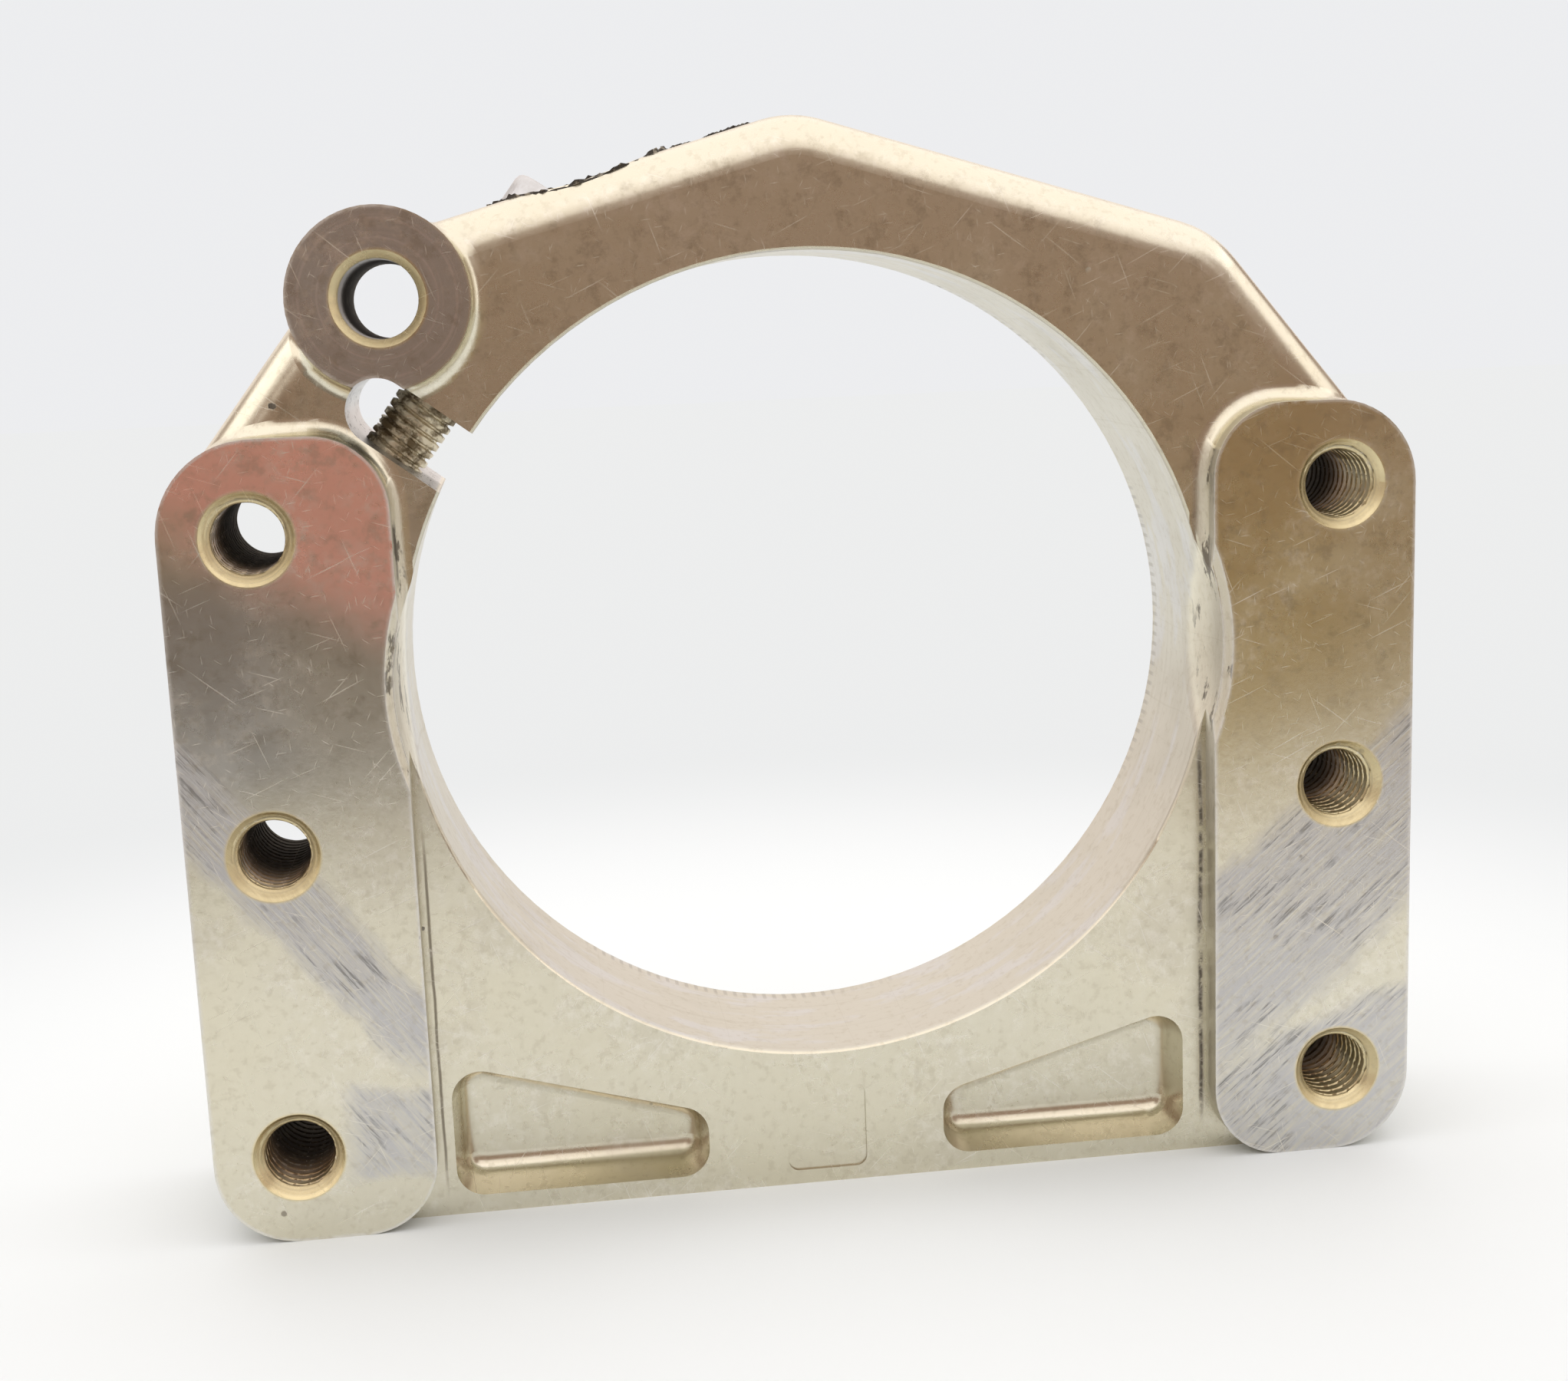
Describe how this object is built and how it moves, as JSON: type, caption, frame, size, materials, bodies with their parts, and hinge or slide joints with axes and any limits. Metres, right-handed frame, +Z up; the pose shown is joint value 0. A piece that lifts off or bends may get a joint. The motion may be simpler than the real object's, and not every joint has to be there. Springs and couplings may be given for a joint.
{
  "type": "split clamp bracket",
  "caption": "Cast aluminium bracket with a large split clamping bore closed by a cap screw, two raised pads with tapped holes and a drilled boss.",
  "frame": {"origin": "centre of the clamping bore in the flat back face", "axes": "+X to the right of someone facing the pads, +Y along the bore to the back, +Z up towards the arms' peak"},
  "size_m": [0.1524, 0.0268, 0.1337],
  "materials": {
    "chromated_casting": "yellow passivated, semi gloss, scratched",
    "zinc_plated_steel": "zinc plated, thread worn and soiled"
  },
  "bodies": {
    "casting": {"clamp_body": "chromated_casting"},
    "washer": {"lock_washer": "zinc_plated_steel"},
    "screw": {"clamp_screw": "zinc_plated_steel"}
  },
  "joints": [
    {"name": "clamp_screw_travel", "type": "slide", "parent": "casting", "child": "washer", "axis": [0.6088, 0, 0.7934], "range_m": [0, 0.00375]},
    {"name": "clamp_screw_turn", "type": "hinge", "parent": "washer", "child": "screw", "pos_m": [-0.03216, -0.0134, 0.0504], "axis": [0.6088, 0, 0.7934], "range_deg": [0, 1080]}
  ],
  "couplings": [
    {"joint": "clamp_screw_turn", "follows": "clamp_screw_travel", "rad_per_m": 5026.5}
  ]
}
